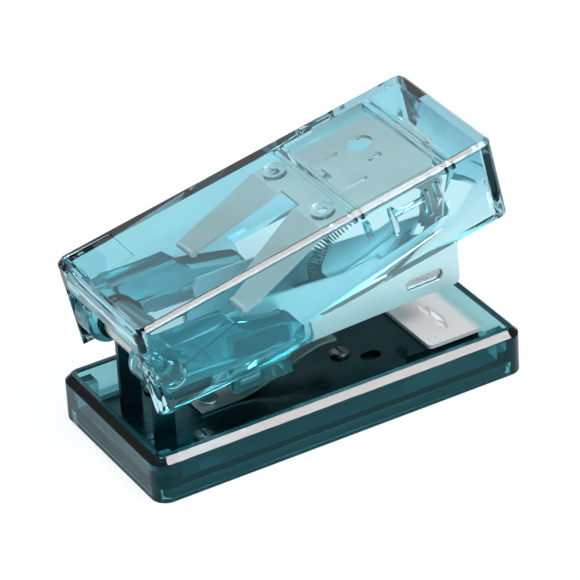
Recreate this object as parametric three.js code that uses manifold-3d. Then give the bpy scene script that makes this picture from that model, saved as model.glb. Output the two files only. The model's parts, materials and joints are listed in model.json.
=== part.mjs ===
// Mini desk stapler for small (8.5 mm wide, 5 mm leg) staples: clear plastic base and cover,
// steel magazine and driver spring, all turning on one cross axis above the rear of the base.
// Millimetres. +X points to the jaw, +Z up, the origin is the middle of the underside.
import * as THREE from 'three';
import { mergeVertices } from 'three/addons/utils/BufferGeometryUtils.js';
import Module from 'manifold-3d';

const wasm = await Module();
wasm.setup();

// ---- driving dimensions -------------------------------------------------------------------

const degree = Math.PI / 180;

// base tray
const baseLength = 75;
const baseWidth = 36;
const baseHeight = 8.9;
const baseWall = 2.2;
const baseCornerRadius = 3;
const baseBevel = 1.2;
const deckHeight = 3.4;             // top of the tray's floor above the shell's lower edge
const deckThickness = 1.4;
const matStandOff = 0.3;            // the rubber mat stands this far below the shell
const matGap = 0.3;
const postSide = 3;                 // corner posts that stiffen the tray's walls
const postDrop = 1.4;

// steel base plate and its ears
const plateThickness = 0.8;
const plateHalfWidth = 11.5;
const plateNoseHalfWidth = 7.8;
const plateEndGap = 1.2;            // plate to the tray's rear wall
const plateNoseCover = 0.8;         // the anvil reaches past the plate's nose
const plateNoseLength = 15;
const earThickness = 1;
const earHalfGap = 5.7;             // centre plane to an ear's inner face
const earColumnLength = 3.9;
const earColumnStart = -0.2;        // from the pivot
const earHeadRadius = 3.2;
const screwHeadRadius = 1.8;
const screwHeadHeight = 0.8;
const screwHeadProfile = [[1, 0.5], [0.75, 0.9]];   // radius and height, as shares of the head
const screwSlotHalfWidth = 0.25;
const screwSlotHalfLength = 1.3;
const screwSlotFloor = 0.55;        // as a share of the head's height
const screwShankRadius = 0.9;
const screwRearInset = 14;
const screwRearHalfGap = 9;
const screwFrontInset = 47;
const tabLength = 2.4;
const tabWidth = 1.8;
const tabRise = 1.1;
const tabTipThickness = 0.5;
const tabInset = 56;
const tabSide = -6;
const slotHoleRadius = 1.3;
const slotHoleInset = 51.5;
const slotHoleSide = -3.5;
const slotHoleLength = 4;

// anvil
const anvilLength = 11.5;
const anvilRearShare = 0.52;        // part of its length behind the grooves
const anvilHalfWidth = 8.3;
const anvilThickness = 0.8;
const anvilCornerRadius = 0.8;
const anvilGrooveWidth = 1.7;
const anvilGrooveDepth = 0.4;
const anvilGrooveEnd = 0.48;        // a groove reaches this far past its staple leg
const anvilRidge = 0.5;             // land between the two grooves
const anvilRivetRadius = 0.7;
const anvilRivetInset = 1.8;        // from the anvil's rear edge
const anvilRivetSideInset = 2;

// pivot
const pivotInset = 6.3;             // axis ahead of the base's rear end
const pivotHeight = 23.4;           // axis above the table
const pinRadius = 1.5;
const pinHalfLength = 9.4;
const spacerRadius = 2.5;

// magazine, in its own turned frame
const magazineTilt = 2.3 * degree;  // nose up at rest
const steelSheet = 0.5;
const channelHalfWidth = 5.1;
const channelDrop = 11.7;           // axis down to the underside
const channelRear = 13;             // axis forward to the rear end
const channelFront = 63.1;          // axis forward to the front face
const channelRearTop = 1.4;         // top edge above the axis, rear
const channelFrontTop = -1.8;       // top edge above the axis, front
const channelSlopeStart = 10;       // from the rear end to where the top edge starts to fall
const channelRearCorner = 1.5;
const channelFootRadius = 1.2;      // the walls' lower front corner
const farWallGap = 0.8;             // right wall stops short of the front guard
const flangeTop = 3;                // front guard above the axis
const flangeReach = 1;              // front guard's free edge past the centre plane
const flangeChamfer = 1.6;
const sideSlotLength = 7.8;
const sideSlotHeight = 2.5;
const sideSlotFromFront = 3.4;
const sideSlotRise = 3.35;          // slot centre above the channel's underside
const driveSlot = 2;                // room for the driver blade behind the front guard
const railPlay = 0.27;              // a staple leg to the rail, each side
const railHeight = 4.6;
const railRear = 15;
const rivetShankRadius = 1;
const rivetHeadRadius = 1.9;
const rivetHeadHeight = 0.5;
const rivetPlaces = [17, 23];

// staples
const stapleWire = 0.45;
const stapleLeg = 5;
const staplePlay = 0.18;            // a staple leg to the channel's wall, each side
const stripLength = 20.2;

// holder that carries the magazine on the pivot
const holderArmInner = 7.3;
const holderSideGap = 0.8;          // arm to the cover's inner wall
const holderHeadRadius = 4.6;
const holderFront = 26.6;
const holderCrestTop = 4.5;         // above the axis, under the driver spring's legs
const holderCrestFront = 13;
const holderStepTop = 1.9;
const holderStepFront = 15;
const holderFrontTop = -0.7;
const holderArmDrop = 5;
const holderCorner = 1;
const holderHeadFlat = 0.6;         // the arm's underside leaves the head this far up
const holderCheekTop = -1.5;
const holderWebLength = 12.6;
const holderWebHalfWidth = 9;
const holderWebThickness = 1.3;
const stubRadius = 2.45;            // the cover's cheeks turn on these stubs
const stubInset = 0.2;              // stub's end inside the cover's outer face
const pinBlindDepth = 2.4;

// pusher
const pusherLength = 6;
const pusherWall = 0.5;
const pusherTopThickness = 1.2;
const pusherPostHeight = 1.4;
const pusherPostRadius = 0.8;
const pusherPostInset = 2.4;

// cover, in its own turned frame
const coverTilt = 11.1 * degree;
const coverLength = 72.9;
const coverWidth = 30.4;
const coverWall = 2;
const coverCornerRadius = 2;
const coverBevel = 0.9;
const coverTopAboveAxis = 11.7;
const coverRearBehindAxis = 4.4;
const coverSideDepth = 16.3;
const cheekRearDepth = 18.2;
const cheekFrontDepth = 19.9;
const cheekLength = 31;
const cheekFillet = 1.5;
const rearWallDepth = 5.5;
const thumbFlatRear = 1.4;          // shallow recess in the top's rear left corner
const thumbFlatFront = 10.8;
const thumbFlatWidth = 9.1;
const thumbFlatSideInset = 1.6;
const thumbFlatDepth = 0.2;
const ribPlaces = [45.3, 64.2];     // from the cover's rear end
const ribThickness = 0.7;
const ribPairGap = 0.8;
const ribDepth = 0.8;
const stakePlace = 41.5;
const stakeSideInset = 3.2;         // stake's axis inside the driver plate's edge
const stakeRadius = 2.2;
const stakePinRadius = 0.9;
const stakeHeadRadius = 1.7;
const stakeHeadHeight = 0.6;
const fingerPlaces = [46.5, 51.6, 58.6, 61];
const fingerLength = 1;
const fingerDepths = [7, 9.6, 9.7, 7];
const fingerProud = 1.1;
const fingerTopGap = 0.5;
const ledgeThickness = 0.8;
const ledgeDepth = 5.2;
const ledgeProud = 0.9;

// driver spring
const driverSheet = 0.6;
const driverSideGap = 1.8;          // plate to the cover's inner wall
const driverRear = 38.2;            // plate from the cover's rear end
const driverShoulder = 62.4;
const shoulderLength = 1.5;
const shoulderStep = 2.5;
const bladePlay = 0.4;              // blade to the channel's wall, each side
const bladeLean = 3 * degree;       // in the cover's frame
const bladeReach = 25;              // blade's lower edge below the cover's top
const bladeWallGap = 0.2;           // blade to the front guard at rest
const windowHalfWidth = 3.05;
const windowFront = 39.8;
const legLength = 18.2;
const legDrop = 19 * degree;
const legTipInset = 0.4;            // leg's tip inside the holder arm's outer face
const legTipWidth = 5.1;
const legTipCorner = 1;
const legCurlRadius = 0.6;          // the tip is curled up
const hookPlace = 58.6;
const hookSide = -1;
const hookWidth = 1.4;
const hookDrop = 2.2;
const hookReach = 1.8;
const hookLip = 1.1;
const hookSheet = 0.5;
const hookWindowLength = 3.2;       // the opening the hook was bent out of
const smallHole = { rear: 46.8, front: 48.3, near: -0.4, far: 3.2 };
const sideCut = { place: 50.2, side: 5.2, length: 5, radius: 0.5 };
const lightHoleRadius = 2.5;
const lightHolePlace = 57;
const lightHoleSide = 4.7;

// springs
const liftSpringRear = 17;
const liftSpringFoot = 6;
const liftSpringFront = 45;
const liftSpringHalfWidth = 3;
const liftSpringSheet = 0.5;
const liftSpringGap = 0.4;          // spring to the magazine's underside
const liftSpringDroop = 0.08;       // the tip turns down by this share of the rise
const liftSpringDroopStart = 0.85;
const coilRadius = 1.15;            // wire's centre line
const coilWire = 0.19;              // wire radius
const coilTurns = 26;
const coilLoop = 1.8;               // the last turn hangs this far below the hook
const coilHookInset = 1.2;
const coilSpine = [[0, 0.4], [-0.3, 4], [2.4, 8], [7.2, 10.6]];   // past the post: forward, up

// fits
const seat = 0.2;                   // between resting pieces
const runningFit = 0.05;            // radial, shaft in hole
const slidingFit = 0.25;
const shaftSides = 32;
const weld = 0.5;                   // overlap that joins two solids
const beyond = 1;                   // how far a cutter passes the surface it cuts
const leastRadius = 0.5;            // of an inner corner

// ---- places that follow from them ----------------------------------------------------------

const baseRearX = -baseLength / 2;
const baseFrontX = baseLength / 2;
const shellBottomZ = matStandOff;
const rimZ = shellBottomZ + baseHeight;
const deckTopZ = shellBottomZ + deckHeight;
const deckUnderZ = deckTopZ - deckThickness;
const plateUnderZ = deckTopZ + seat / 2;
const plateTopZ = plateUnderZ + plateThickness;
const plateRearX = baseRearX + baseWall + plateEndGap;
const anvilUnderZ = plateTopZ + seat / 2;
const pivotX = baseRearX + pivotInset;
const channelUnder = -channelDrop;
const channelFloorTop = channelUnder + steelSheet;
const guardInnerX = channelFront - steelSheet;
const feedEndX = channelFront - steelSheet - driveSlot;
const railUnder = channelFloorTop + seat / 2;
const railTop = railUnder + railHeight;
const crownUnder = railTop + seat / 2;
const stripRearX = feedEndX - stripLength;
const pusherFrontX = stripRearX - seat;
const pusherRearX = pusherFrontX - pusherLength;
const coverRearX = -coverRearBehindAxis;
const coverTopZ = coverTopAboveAxis;
const coverHalfWidth = coverWidth / 2;
const coverInnerHalfWidth = coverHalfWidth - coverWall;
const stapleHalfWidth = channelHalfWidth - steelSheet - staplePlay;
const railHalfWidth = stapleHalfWidth - stapleWire - railPlay;
const bladeHalfWidth = channelHalfWidth - steelSheet - bladePlay;
const anvilGrooveLength = stapleHalfWidth + anvilGrooveEnd;
const holderArmOuter = coverInnerHalfWidth - holderSideGap;
const driverHalfWidth = coverInnerHalfWidth - driverSideGap;
const stakeHalfGap = driverHalfWidth - stakeSideInset;
const legTipOuter = holderArmOuter - legTipInset;
const legTipInner = legTipOuter - legTipWidth;
const thumbFlatFar = coverHalfWidth - thumbFlatSideInset;
const thumbFlatNear = thumbFlatFar - thumbFlatWidth;
const driverTopZ = coverTopZ - coverWall - ribDepth - seat;
const driverUnderZ = driverTopZ - driverSheet;
const coverAngleOnMagazine = coverTilt - magazineTilt;

// ---- materials ------------------------------------------------------------------------------

function finish(colour, roughness, metalness, opacity = 1) {
  return new THREE.MeshStandardMaterial({ color: colour, roughness, metalness, opacity, transparent: opacity < 1 });
}

const clearTeal = finish(0x2f7f8e, 0.08, 0, 0.75);
const clearBlue = finish(0x8fcfe0, 0.06, 0, 0.5);
const clearHolder = finish(0x4fa3b3, 0.08, 0, 0.6);
const darkRubber = finish(0x14191c, 0.8, 0);
const platedSteel = finish(0x8d999e, 0.3, 0.9);
const chrome = finish(0xe9ecee, 0.12, 1);
const springSteel = finish(0xaab9b8, 0.45, 0.7);
const brightSteel = finish(0xbfd0d6, 0.25, 0.9);
const pusherPlastic = finish(0x39464c, 0.5, 0);

// ---- solids ---------------------------------------------------------------------------------

function solidOf(geometry) {
  const bare = geometry.clone();
  bare.deleteAttribute('normal');
  bare.deleteAttribute('uv');
  const merged = mergeVertices(bare, 1e-4);
  const mesh = new wasm.Mesh({
    numProp: 3,
    vertProperties: Float32Array.from(merged.attributes.position.array),
    triVerts: Uint32Array.from(merged.index.array),
  });
  return new wasm.Manifold(mesh);
}

function geometryOf(solid) {
  const mesh = solid.getMesh();
  const geometry = new THREE.BufferGeometry();
  geometry.setAttribute('position', new THREE.BufferAttribute(Float32Array.from(mesh.vertProperties), 3));
  geometry.setIndex(new THREE.BufferAttribute(Uint32Array.from(mesh.triVerts), 1));
  geometry.computeVertexNormals();
  return geometry;
}

function block(x0, x1, y0, y1, z0, z1) {
  const geometry = new THREE.BoxGeometry(x1 - x0, y1 - y0, z1 - z0);
  return solidOf(geometry.translate((x0 + x1) / 2, (y0 + y1) / 2, (z0 + z1) / 2));
}

// a plan outline (x, y) raised from z0 to z1
function planPrism(shape, z0, z1) {
  const geometry = new THREE.ExtrudeGeometry(shape, { depth: z1 - z0, bevelEnabled: false, curveSegments: 8 });
  return solidOf(geometry.translate(0, 0, z0));
}

// a side outline (x, z) drawn out from y0 to y1
function sidePrism(shape, y0, y1) {
  const geometry = new THREE.ExtrudeGeometry(shape, { depth: y1 - y0, bevelEnabled: false, curveSegments: 8 });
  return solidOf(geometry.rotateX(Math.PI / 2).translate(0, y1, 0));
}

// a shaft along Y
function crossRod(radius, y0, y1, x = 0, z = 0) {
  const geometry = new THREE.CylinderGeometry(radius, radius, y1 - y0, shaftSides);
  return solidOf(geometry.translate(x, (y0 + y1) / 2, z));
}

// a shaft along Z
function uprightRod(radius, z0, z1, x = 0, y = 0, sides = 20) {
  const geometry = new THREE.CylinderGeometry(radius, radius, z1 - z0, sides);
  return solidOf(geometry.rotateX(Math.PI / 2).translate(x, y, (z0 + z1) / 2));
}

function outline(points) {
  return new THREE.Shape(points.map(([u, v]) => new THREE.Vector2(u, v)));
}

function roundedPlan(x0, x1, halfWidth, radius) {
  const shape = new THREE.Shape();
  shape.moveTo(x0 + radius, -halfWidth);
  shape.lineTo(x1 - radius, -halfWidth);
  shape.absarc(x1 - radius, -halfWidth + radius, radius, -Math.PI / 2, 0);
  shape.absarc(x1 - radius, halfWidth - radius, radius, 0, Math.PI / 2);
  shape.absarc(x0 + radius, halfWidth - radius, radius, Math.PI / 2, Math.PI);
  shape.absarc(x0 + radius, -halfWidth + radius, radius, Math.PI, Math.PI * 1.5);
  return shape;
}

// a rounded block whose upper edge is bevelled
function bevelledBlock(x0, x1, halfWidth, radius, bevel, z0, z1) {
  const geometry = new THREE.ExtrudeGeometry(roundedPlan(x0, x1, halfWidth, radius), {
    depth: z1 - z0,
    bevelEnabled: true,
    bevelSize: bevel,
    bevelOffset: -bevel,
    bevelThickness: bevel,
    bevelSegments: 2,
    curveSegments: 5,
  });
  const raised = solidOf(geometry.translate(0, 0, z0 - bevel));
  return raised.intersect(block(x0 - beyond, x1 + beyond, -halfWidth - beyond, halfWidth + beyond, z0, z1 + beyond));
}

function bothSides(make) {
  return make(1).add(make(-1));
}

function sideBlock(x0, x1, inner, outer, z0, z1, side) {
  return side > 0 ? block(x0, x1, inner, outer, z0, z1) : block(x0, x1, -outer, -inner, z0, z1);
}

const stapler = new THREE.Group();
const magazineFrame = new THREE.Group();
magazineFrame.position.set(pivotX, 0, pivotHeight);
magazineFrame.rotation.y = -magazineTilt;
const coverFrame = new THREE.Group();
coverFrame.position.set(pivotX, 0, pivotHeight);
coverFrame.rotation.y = -coverTilt;
stapler.add(magazineFrame, coverFrame);

function addPart(parent, name, geometry, material) {
  const mesh = new THREE.Mesh(geometry, material);
  mesh.name = name;
  parent.add(mesh);
}

// ---- base -----------------------------------------------------------------------------------

function makeBaseShell() {
  const innerHalf = baseWidth / 2 - baseWall;
  const innerRadius = Math.max(baseCornerRadius - baseWall, leastRadius);
  const innerRear = baseRearX + baseWall;
  const innerFront = baseFrontX - baseWall;
  const inside = roundedPlan(innerRear, innerFront, innerHalf, innerRadius);
  let shell = bevelledBlock(
    baseRearX, baseFrontX, baseWidth / 2, baseCornerRadius, baseBevel, shellBottomZ, rimZ);
  shell = shell.subtract(planPrism(inside, deckTopZ, rimZ + beyond));
  shell = shell.subtract(planPrism(inside, shellBottomZ - beyond, deckUnderZ));
  for (const [x0, x1] of [[innerRear - weld, innerRear + postSide], [innerFront - postSide, innerFront + weld]]) {
    const posts = (side) => sideBlock(
      x0, x1, innerHalf - postSide, innerHalf + weld, deckTopZ - weld, rimZ - postDrop, side);
    shell = shell.add(bothSides(posts));
  }
  for (const [x, y] of screwPlaces()) {
    shell = shell.subtract(uprightRod(screwShankRadius + runningFit, deckUnderZ - beyond, deckTopZ + beyond, x, y));
  }
  return shell;
}

function screwPlaces() {
  const rear = baseRearX + screwRearInset;
  return [[rear, screwRearHalfGap], [rear, -screwRearHalfGap], [baseRearX + screwFrontInset, 0]];
}

function makeMat() {
  const inset = baseWall + matGap;
  const plan = roundedPlan(baseRearX + inset, baseFrontX - inset, baseWidth / 2 - inset, baseCornerRadius / 2);
  return planPrism(plan, 0, deckUnderZ - matGap);
}

function plateOutline() {
  const plateFrontX = anvilRearX() + anvilLength - plateNoseCover;
  const noseX = plateFrontX - plateNoseLength;
  const stepX = noseX - (plateHalfWidth - plateNoseHalfWidth);
  return outline([
    [plateRearX, -plateHalfWidth], [stepX, -plateHalfWidth], [noseX, -plateNoseHalfWidth],
    [plateFrontX, -plateNoseHalfWidth], [plateFrontX, plateNoseHalfWidth], [noseX, plateNoseHalfWidth],
    [stepX, plateHalfWidth], [plateRearX, plateHalfWidth],
  ]);
}

function makeEar(side) {
  const inner = side > 0 ? earHalfGap : -earHalfGap - earThickness;
  const columnRear = pivotX + earColumnStart;
  const column = block(
    columnRear, columnRear + earColumnLength, inner, inner + earThickness, plateTopZ - weld, pivotHeight);
  const head = crossRod(earHeadRadius, inner, inner + earThickness, pivotX, pivotHeight);
  const bore = crossRod(pinRadius + runningFit, inner - beyond, inner + earThickness + beyond, pivotX, pivotHeight);
  return column.add(head).subtract(bore);
}

function slotCut(x, y, length, radius, z0, z1) {
  const shape = new THREE.Shape();
  shape.absarc(x - length / 2 + radius, y, radius, Math.PI / 2, Math.PI * 1.5);
  shape.absarc(x + length / 2 - radius, y, radius, -Math.PI / 2, Math.PI / 2);
  return planPrism(shape, z0, z1);
}

function makeBasePlate() {
  let plate = planPrism(plateOutline(), plateUnderZ, plateTopZ).add(bothSides(makeEar));
  for (const [x, y] of screwPlaces()) {
    plate = plate.subtract(uprightRod(screwShankRadius + runningFit, plateUnderZ - beyond, plateTopZ + beyond, x, y));
  }
  for (const [x, y] of anvilRivetPlaces()) {
    plate = plate.subtract(uprightRod(anvilRivetRadius + runningFit, plateUnderZ - beyond, plateTopZ + beyond, x, y));
  }
  const rivetX = liftRivetX();
  plate = plate.subtract(
    uprightRod(rivetShankRadius + runningFit, plateUnderZ - beyond, plateTopZ + beyond, rivetX, 0));
  const holeX = baseRearX + slotHoleInset;
  plate = plate.subtract(
    slotCut(holeX, slotHoleSide, slotHoleLength, slotHoleRadius, plateUnderZ - beyond, plateTopZ + beyond));
  const tabX = baseRearX + tabInset;
  const tab = outline([
    [tabX - tabLength / 2, plateTopZ - weld], [tabX + tabLength / 2, plateTopZ - weld],
    [tabX + tabLength / 2, plateTopZ + tabRise], [tabX + tabLength / 2 - tabTipThickness, plateTopZ + tabRise],
  ]);
  return plate.add(sidePrism(tab, tabSide - tabWidth / 2, tabSide + tabWidth / 2));
}

function makeScrew(x, y) {
  const shank = uprightRod(screwShankRadius, deckUnderZ + seat / 2, plateTopZ + seat, x, y, 16);
  const headZ = plateTopZ + seat / 2;
  const dome = new THREE.LatheGeometry([
    new THREE.Vector2(0, 0), new THREE.Vector2(screwHeadRadius, 0),
    ...screwHeadProfile.map(([out, up]) => new THREE.Vector2(screwHeadRadius * out, screwHeadHeight * up)),
    new THREE.Vector2(0, screwHeadHeight),
  ], 20);
  const head = solidOf(dome.rotateX(Math.PI / 2).translate(x, y, headZ));
  const slotZ = headZ + screwHeadHeight * screwSlotFloor;
  const slot = block(x - screwSlotHalfWidth, x + screwSlotHalfWidth, y - screwSlotHalfLength, y + screwSlotHalfLength,
    slotZ, slotZ + beyond);
  return shank.add(head).subtract(slot);
}

// where the blade meets the anvil once the magazine is down
function anvilCentreX() {
  const bladeX = guardInnerX - bladeWallGap - driverSheet / 2;
  const reach = Math.hypot(bladeX, channelDrop);
  const drop = pivotHeight - (anvilUnderZ + anvilThickness);
  return pivotX + Math.sqrt(reach * reach - drop * drop);
}

function anvilRearX() {
  return anvilCentreX() - anvilLength * anvilRearShare;
}

function anvilRivetPlaces() {
  const x = anvilRearX() + anvilRivetInset;
  const y = anvilHalfWidth - anvilRivetSideInset;
  return [[x, y], [x, -y]];
}

function makeAnvil() {
  const topZ = anvilUnderZ + anvilThickness;
  const rearX = anvilRearX();
  const centreX = anvilCentreX();
  const plan = roundedPlan(rearX, rearX + anvilLength, anvilHalfWidth, anvilCornerRadius);
  let anvil = planPrism(plan, anvilUnderZ, topZ);
  const halfChord = anvilGrooveLength / 2;
  const radius = (halfChord * halfChord + anvilGrooveDepth * anvilGrooveDepth) / (2 * anvilGrooveDepth);
  for (const side of [1, -1]) {
    const y = side * (anvilRidge / 2 + halfChord);
    const drum = new THREE.CylinderGeometry(radius, radius, anvilGrooveWidth, 96);
    drum.rotateZ(Math.PI / 2).translate(centreX, y, topZ - anvilGrooveDepth + radius);
    anvil = anvil.subtract(solidOf(drum));
  }
  for (const [x, y] of anvilRivetPlaces()) {
    anvil = anvil.subtract(uprightRod(anvilRivetRadius + runningFit, anvilUnderZ - beyond, topZ + beyond, x, y));
  }
  return anvil;
}

function makeAnvilRivet(x, y) {
  const topZ = anvilUnderZ + anvilThickness;
  return uprightRod(anvilRivetRadius, plateUnderZ + seat / 4, topZ, x, y, 20);
}

function makePin() {
  return crossRod(pinRadius, -pinHalfLength, pinHalfLength, pivotX, pivotHeight);
}

function makeSpacer() {
  const half = earHalfGap - seat;
  const tube = crossRod(spacerRadius, -half, half, pivotX, pivotHeight);
  return tube.subtract(crossRod(pinRadius + runningFit, -half - beyond, half + beyond, pivotX, pivotHeight));
}

// a flat foot on the plate, then a rising curve that ends under the magazine
function makeLiftSpring() {
  const footZ = plateTopZ + seat / 2;
  const footRear = baseRearX + liftSpringRear;
  const footFront = footRear + liftSpringFoot;
  const tipX = baseRearX + liftSpringFront;
  const under = pivotHeight + (tipX - pivotX) * Math.sin(magazineTilt) - channelDrop * Math.cos(magazineTilt);
  const tipZ = under - liftSpringGap - liftSpringSheet;
  const span = tipX - footFront;
  const rise = tipZ - footZ;
  const upper = [];
  const lower = [];
  const steps = 12;
  for (let i = 0; i <= steps; i += 1) {
    const t = i / steps;
    const x = footFront + span * t;
    const droop = liftSpringDroop * Math.max(0, t - liftSpringDroopStart) / (1 - liftSpringDroopStart);
    const z = footZ + rise * Math.sin(t * Math.PI / 2) ** 2 * (1 - droop);
    lower.push([x, z]);
    upper.unshift([x, z + liftSpringSheet]);
  }
  const side = outline([[footRear, footZ], ...lower, ...upper, [footRear, footZ + liftSpringSheet]]);
  const strip = sidePrism(side, -liftSpringHalfWidth, liftSpringHalfWidth);
  const x = liftRivetX();
  return strip.subtract(uprightRod(rivetShankRadius + runningFit, footZ - beyond, footZ + 2 * beyond, x, 0));
}

function liftRivetX() {
  return baseRearX + liftSpringRear + liftSpringFoot / 2;
}

function makeLiftRivet() {
  const x = liftRivetX();
  const headZ = plateTopZ + seat + liftSpringSheet;
  const shank = uprightRod(rivetShankRadius, plateUnderZ + seat / 4, headZ + seat / 2, x, 0, 16);
  return shank.add(uprightRod(rivetHeadRadius, headZ, headZ + rivetHeadHeight, x, 0));
}

// ---- magazine -------------------------------------------------------------------------------

function sideSlot(y0, y1) {
  const radius = sideSlotHeight / 2;
  const front = channelFront - sideSlotFromFront - radius;
  const rear = front - sideSlotLength + 2 * radius;
  const z = channelUnder + sideSlotRise;
  const shape = new THREE.Shape();
  shape.absarc(rear, z, radius, Math.PI / 2, Math.PI * 1.5);
  shape.absarc(front, z, radius, -Math.PI / 2, Math.PI / 2);
  return sidePrism(shape, y0, y1);
}

function makeChannel() {
  const inner = channelHalfWidth - steelSheet;
  const wall = new THREE.Shape();
  wall.moveTo(channelRear, channelUnder);
  wall.lineTo(channelFront - channelFootRadius, channelUnder);
  wall.absarc(
    channelFront - channelFootRadius, channelUnder + channelFootRadius, channelFootRadius, -Math.PI / 2, 0);
  wall.lineTo(channelFront, channelFrontTop);
  wall.lineTo(channelRear + channelSlopeStart, channelRearTop);
  wall.lineTo(channelRear + channelRearCorner, channelRearTop);
  wall.lineTo(channelRear, channelRearTop - channelRearCorner);
  const farWallCut = block(channelFront - farWallGap, channelFront + beyond, 0, channelHalfWidth + beyond,
    channelUnder - beyond, flangeTop + beyond);
  let channel = sidePrism(wall, -channelHalfWidth, channelHalfWidth);
  channel = channel.subtract(
    block(channelRear - beyond, channelFront + beyond, -inner, inner, channelFloorTop, flangeTop));
  channel = channel.subtract(
    block(feedEndX, channelFront + beyond, -inner, inner, channelUnder - beyond, flangeTop));
  channel = channel.subtract(farWallCut);
  const guardTop = flangeTop - flangeChamfer;
  const guardBottom = channelUnder + channelFootRadius;
  const guardEdge = channelHalfWidth + flangeReach;
  const guard = new THREE.Shape([
    new THREE.Vector2(-channelHalfWidth, guardBottom), new THREE.Vector2(guardEdge - channelHalfWidth, guardBottom),
    new THREE.Vector2(guardEdge - channelHalfWidth, guardTop),
    new THREE.Vector2(guardEdge - channelHalfWidth - flangeChamfer, flangeTop),
    new THREE.Vector2(-channelHalfWidth + flangeChamfer, flangeTop), new THREE.Vector2(-channelHalfWidth, guardTop),
  ]);
  const sheet = new THREE.ExtrudeGeometry(guard, { depth: steelSheet, bevelEnabled: false });
  const across = new THREE.Matrix4().makeBasis(
    new THREE.Vector3(0, 1, 0), new THREE.Vector3(0, 0, 1), new THREE.Vector3(1, 0, 0));
  channel = channel.add(solidOf(sheet.applyMatrix4(across).translate(guardInnerX, 0, 0)));
  channel = channel.subtract(sideSlot(-channelHalfWidth - beyond, channelHalfWidth + beyond));
  for (const x of rivetPlaces) {
    channel = channel.subtract(
      uprightRod(rivetShankRadius + runningFit, channelUnder - beyond, channelFloorTop + beyond, x, 0));
  }
  return channel;
}

function makeRail() {
  const inner = railHalfWidth - steelSheet;
  let rail = block(railRear, feedEndX, -railHalfWidth, railHalfWidth, railUnder, railTop);
  rail = rail.subtract(
    block(railRear - beyond, feedEndX + beyond, -inner, inner, railUnder + steelSheet, railTop + beyond));
  for (const x of rivetPlaces) {
    rail = rail.subtract(uprightRod(rivetShankRadius + runningFit, railUnder - beyond, railUnder + 2 * beyond, x, 0));
  }
  return rail;
}

function makeStrip() {
  const inner = stapleHalfWidth - stapleWire;
  const crownTop = crownUnder + stapleWire;
  const legEnd = crownTop - stapleLeg;
  const strip = block(stripRearX, feedEndX, -stapleHalfWidth, stapleHalfWidth, legEnd, crownTop);
  return strip.subtract(block(stripRearX - beyond, feedEndX + beyond, -inner, inner, legEnd - beyond, crownUnder));
}

function holderWebTop() {
  return channelUnder - seat;
}

function makeChannelRivet(x) {
  const headZ = railUnder + steelSheet + seat / 2;
  const tailZ = holderWebTop() - holderWebThickness;
  const shank = uprightRod(rivetShankRadius, tailZ, headZ + seat / 2, x, 0, 16);
  return shank.add(uprightRod(rivetHeadRadius, headZ, headZ + rivetHeadHeight, x, 0));
}

function makeHolder() {
  const webRear = holderFront - holderWebLength;
  const webFront = holderFront - holderCorner;
  const arm = outline([
    [0, holderCrestTop], [holderCrestFront, holderCrestTop], [holderStepFront, holderStepTop],
    [holderFront - holderCorner, holderFrontTop], [holderFront, holderFrontTop - holderCorner],
    [holderFront, holderCorner - holderArmDrop], [holderFront - holderCorner, -holderArmDrop],
    [0, holderHeadFlat - holderHeadRadius],
  ]);
  const webTop = holderWebTop();
  const webUnder = webTop - holderWebThickness;
  const makeSide = (side) => {
    const y0 = side > 0 ? holderArmInner : -holderArmOuter;
    const y1 = side > 0 ? holderArmOuter : -holderArmInner;
    const stub0 = side > 0 ? holderArmOuter - weld : stubInset - coverHalfWidth;
    const stub1 = side > 0 ? coverHalfWidth - stubInset : weld - holderArmOuter;
    const blind0 = side > 0 ? holderArmInner - beyond : -holderArmInner - pinBlindDepth;
    const blind1 = side > 0 ? holderArmInner + pinBlindDepth : beyond - holderArmInner;
    const ends = crossRod(holderHeadRadius, y0, y1).add(crossRod(stubRadius, stub0, stub1));
    const beam = sidePrism(arm, y0, y1).add(ends);
    const cheek = sideBlock(
      webRear, webFront, channelHalfWidth + seat, holderWebHalfWidth, webUnder, holderCheekTop, side);
    return beam.add(cheek).subtract(crossRod(pinRadius + runningFit, blind0, blind1));
  };
  const web = block(webRear, webFront, -holderWebHalfWidth, holderWebHalfWidth, webUnder, webTop);
  let holder = web.add(makeSide(1)).add(makeSide(-1));
  for (const x of rivetPlaces) {
    holder = holder.subtract(uprightRod(rivetShankRadius + runningFit, webUnder - beyond, webTop + beyond, x, 0));
  }
  return holder;
}

function makePusher() {
  const inner = railHalfWidth + slidingFit;
  const outer = inner + pusherWall;
  const topZ = railTop + slidingFit + pusherTopThickness;
  let pusher = block(pusherRearX, pusherFrontX, -outer, outer, channelFloorTop + slidingFit, topZ);
  pusher = pusher.subtract(
    block(pusherRearX - beyond, pusherFrontX + beyond, -inner, inner, channelUnder, railTop + slidingFit));
  const postX = pusherRearX + pusherPostInset;
  return pusher.add(uprightRod(pusherPostRadius, topZ - weld, topZ + pusherPostHeight, postX, 0, 12));
}

// ---- cover ----------------------------------------------------------------------------------

function coverPoint(along, down) {
  return [coverRearX + along, coverTopZ - down];
}

function coverSideOutline() {
  const shape = new THREE.Shape();
  shape.moveTo(...coverPoint(-beyond, -beyond));
  shape.lineTo(...coverPoint(-beyond, cheekRearDepth));
  shape.lineTo(...coverPoint(cheekLength - cheekFillet, cheekFrontDepth));
  shape.quadraticCurveTo(
    ...coverPoint(cheekLength, cheekFrontDepth), ...coverPoint(cheekLength, cheekFrontDepth - cheekFillet));
  shape.lineTo(...coverPoint(cheekLength, coverSideDepth));
  shape.lineTo(...coverPoint(coverLength + beyond, coverSideDepth));
  shape.lineTo(...coverPoint(coverLength + beyond, -beyond));
  return shape;
}

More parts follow.
